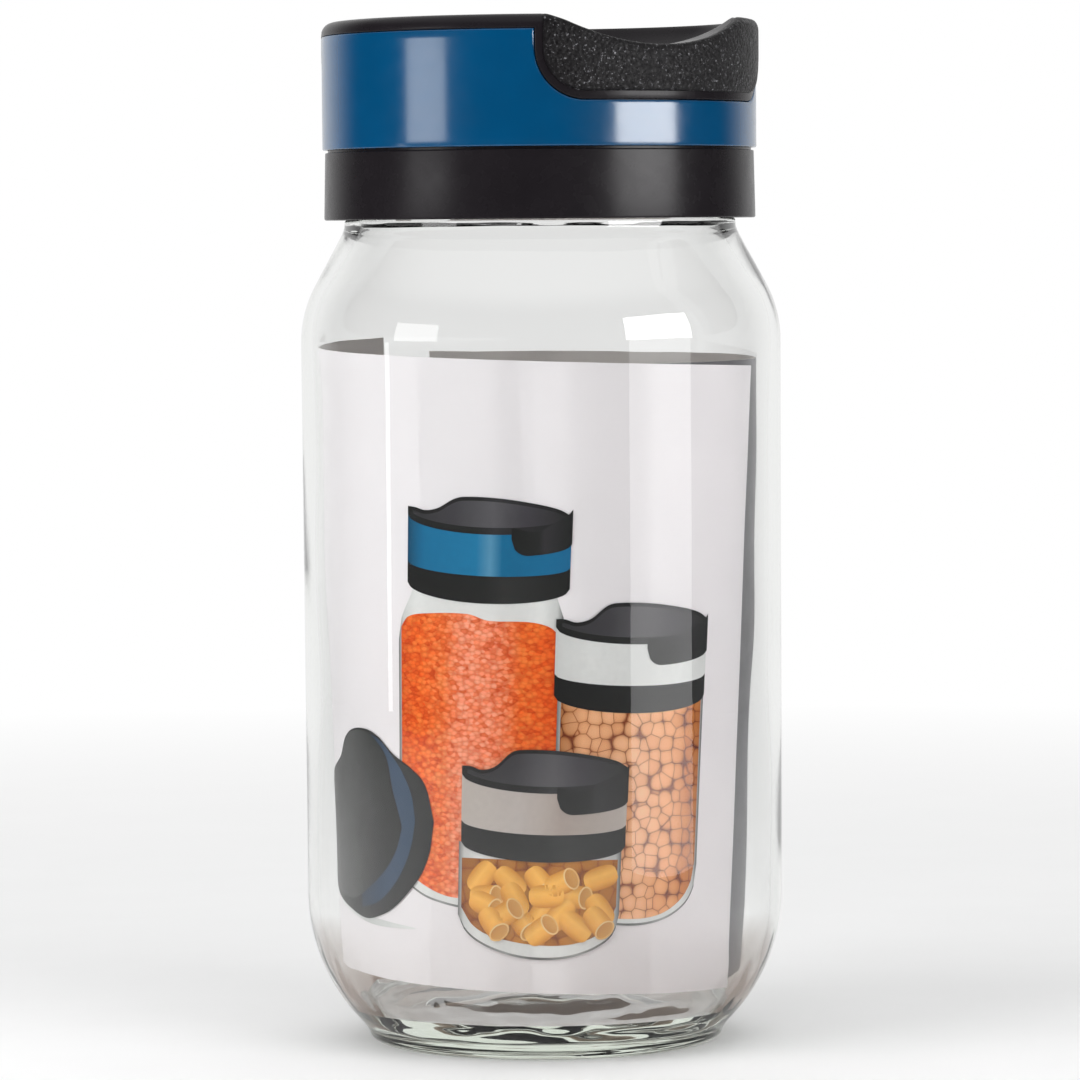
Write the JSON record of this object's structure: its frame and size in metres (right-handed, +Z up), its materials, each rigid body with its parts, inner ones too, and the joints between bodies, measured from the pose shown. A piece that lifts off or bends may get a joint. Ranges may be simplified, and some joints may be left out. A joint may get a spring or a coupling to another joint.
{
  "type": "lidded glass canister",
  "caption": "Clear glass storage jar with a round shoulder and a screw lid that has a colour band, a dished top and two textured finger grips.",
  "frame": {"origin": "centre of the standing ring on the jar's axis, at the surface that the jar stands on", "axes": "+Z up along the jar's axis, -Y towards the front, +X to the right seen from the front"},
  "size_m": [0.0974, 0.0974, 0.2066],
  "materials": {
    "glass": "clear, polished",
    "paper": "coated white print paper with a colour picture",
    "grey_paper": "coated paper printed dark grey",
    "seal": "soft translucent silicone",
    "black_plastic": "satin black moulded plastic",
    "band": "gloss blue moulded plastic",
    "grip": "black plastic with a coarse spark-eroded grain"
  },
  "bodies": {
    "jar": {"glass_jar": "glass", "front_leaflet": "paper", "rear_leaflet": "grey_paper"},
    "seal": {"gasket": "seal"},
    "lid": {"screw_cap": "black_plastic", "lower_ring": "black_plastic", "colour_band": "band", "top_cap": "black_plastic", "grip_pad_front": "grip", "grip_pad_rear": "grip"}
  },
  "joints": [
    {"name": "lid_rise", "type": "slide", "parent": "jar", "child": "seal", "axis": [0, 0, 1], "range_m": [0, 0.03]},
    {"name": "lid_turn", "type": "hinge", "parent": "seal", "child": "lid", "pos_m": [0, 0, 0.186], "axis": [0, 0, 1], "range_deg": [0, 1080]}
  ],
  "couplings": [
    {"joint": "lid_rise", "follows": "lid_turn", "m_per_rad": 0.0015915}
  ]
}
